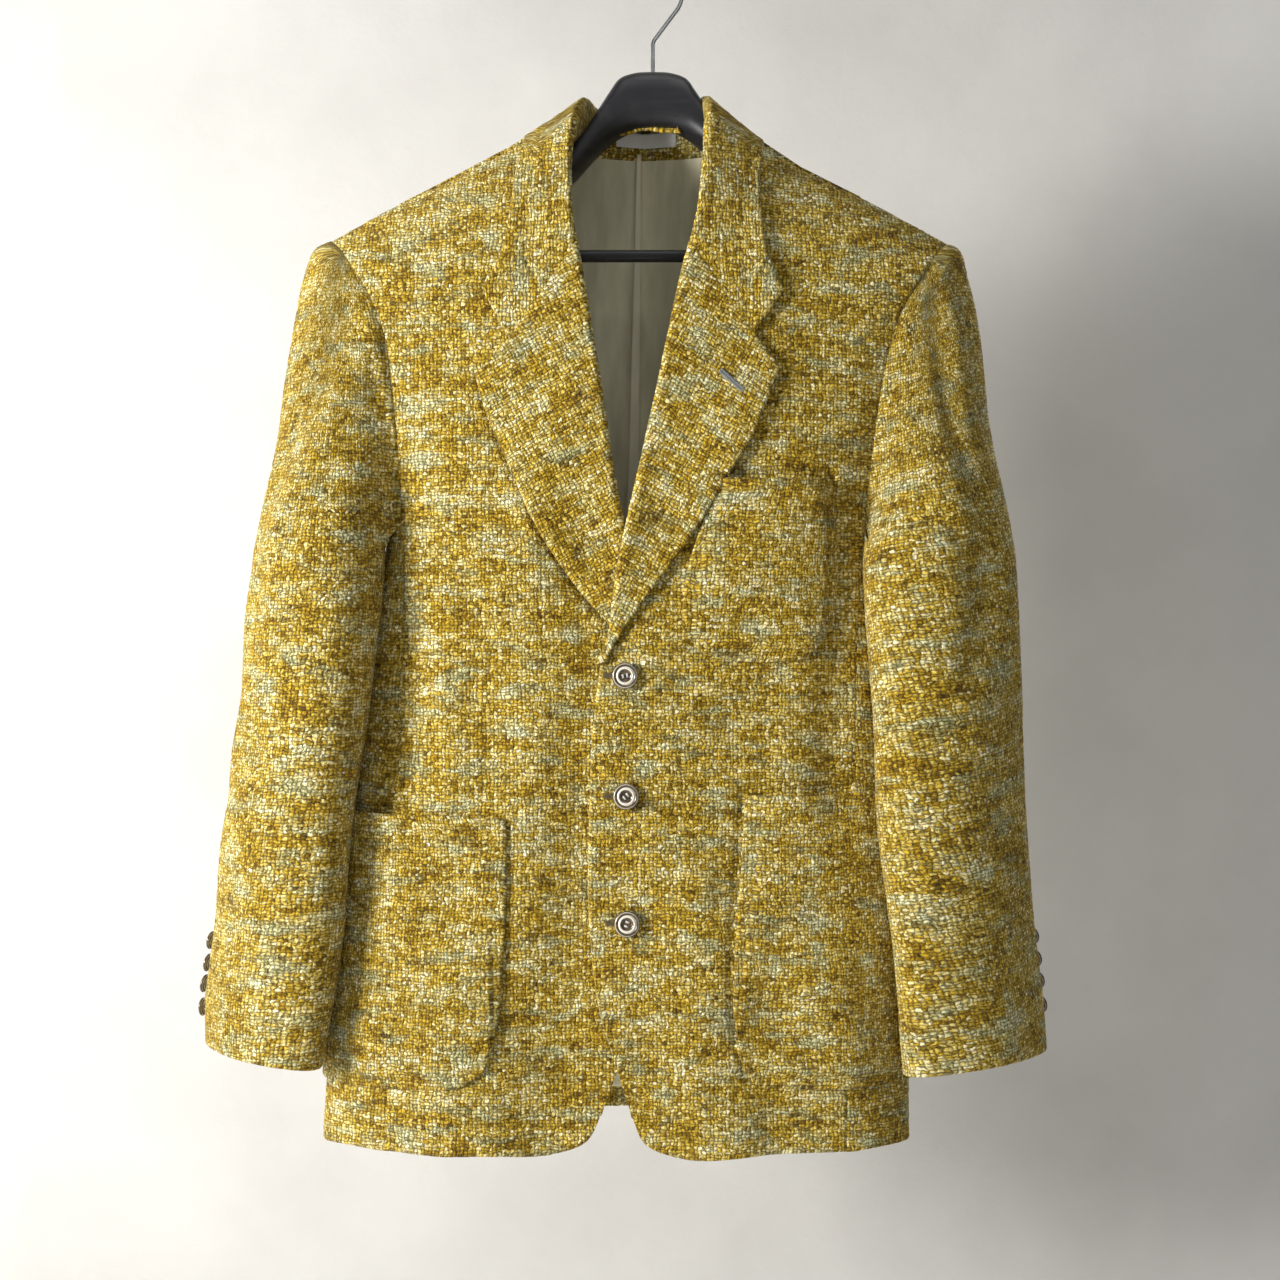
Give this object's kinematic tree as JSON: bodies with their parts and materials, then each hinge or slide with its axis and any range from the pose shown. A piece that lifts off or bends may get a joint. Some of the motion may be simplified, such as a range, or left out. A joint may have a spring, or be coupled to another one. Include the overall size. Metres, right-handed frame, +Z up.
{
  "type": "tailored jacket on a coat hanger",
  "caption": "Tailored tweed jacket with patch pockets, buttoned and hanging on a contoured coat hanger with a trouser bar and a swivelling wire hook.",
  "frame": {"origin": "inside top of the hook's bow, where it bears on a rail", "axes": "+Z up, the jacket's front faces -Y, +X is the wearer's left"},
  "size_m": [0.6515, 0.1318, 0.9126],
  "materials": {
    "tweed": "rough mustard boucle tweed",
    "lining": "satin, pale sage",
    "canvas": "woven canvas and wadding",
    "label": "plain woven white tab",
    "horn": "polished horn-look plastic",
    "thread": "twisted thread",
    "grey_thread": "twisted grey thread",
    "hanger_plastic": "satin black",
    "hook_wire": "polished plated wire",
    "bush_metal": "plain brass"
  },
  "bodies": {
    "hook": {"hook": "hook_wire", "hook_stop": "hook_wire"},
    "jacket": {"hook_bush": "bush_metal", "hanger_body": "hanger_plastic", "trouser_bar": "hanger_plastic", "front_left": "tweed", "front_right": "tweed", "side_left": "tweed", "side_right": "tweed", "back_left": "tweed", "back_right": "tweed", "collar": "tweed", "collar_stand": "tweed", "lapel_left": "tweed", "lapel_right": "tweed", "chest_pocket": "tweed", "lower_pocket_left": "tweed", "lower_pocket_right": "tweed", "facing_left": "tweed", "facing_right": "tweed", "back_neck_facing": "tweed", "chest_canvas_left": "canvas", "chest_canvas_right": "canvas", "shoulder_pad_left": "canvas", "shoulder_pad_right": "canvas", "lining_front_left": "lining", "lining_front_right": "lining", "lining_back": "lining", "neck_label": "label", "front_buttons": "horn", "front_button_threads": "thread", "lapel_buttonhole": "grey_thread"},
    "left_sleeve": {"top_sleeve_left": "tweed", "under_sleeve_left": "tweed", "sleeve_lining_left": "lining", "cuff_buttons_left": "horn", "cuff_button_threads_left": "thread"},
    "right_sleeve": {"top_sleeve_right": "tweed", "under_sleeve_right": "tweed", "sleeve_lining_right": "lining", "cuff_buttons_right": "horn", "cuff_button_threads_right": "thread"}
  },
  "joints": [
    {"name": "hook_swivel", "type": "hinge", "parent": "hook", "child": "jacket", "pos_m": [0, 0, -0.095], "axis": [0, 0, 1], "continuous": true},
    {"name": "left_sleeve_swing", "type": "hinge", "parent": "jacket", "child": "left_sleeve", "pos_m": [0.22089, -0.03, -0.25], "axis": [-0.9623, 0, 0.2719], "range_deg": [0, 25]},
    {"name": "right_sleeve_swing", "type": "hinge", "parent": "jacket", "child": "right_sleeve", "pos_m": [-0.24082, -0.03, -0.25], "axis": [-0.9623, 0, -0.2719], "range_deg": [0, 25]}
  ]
}
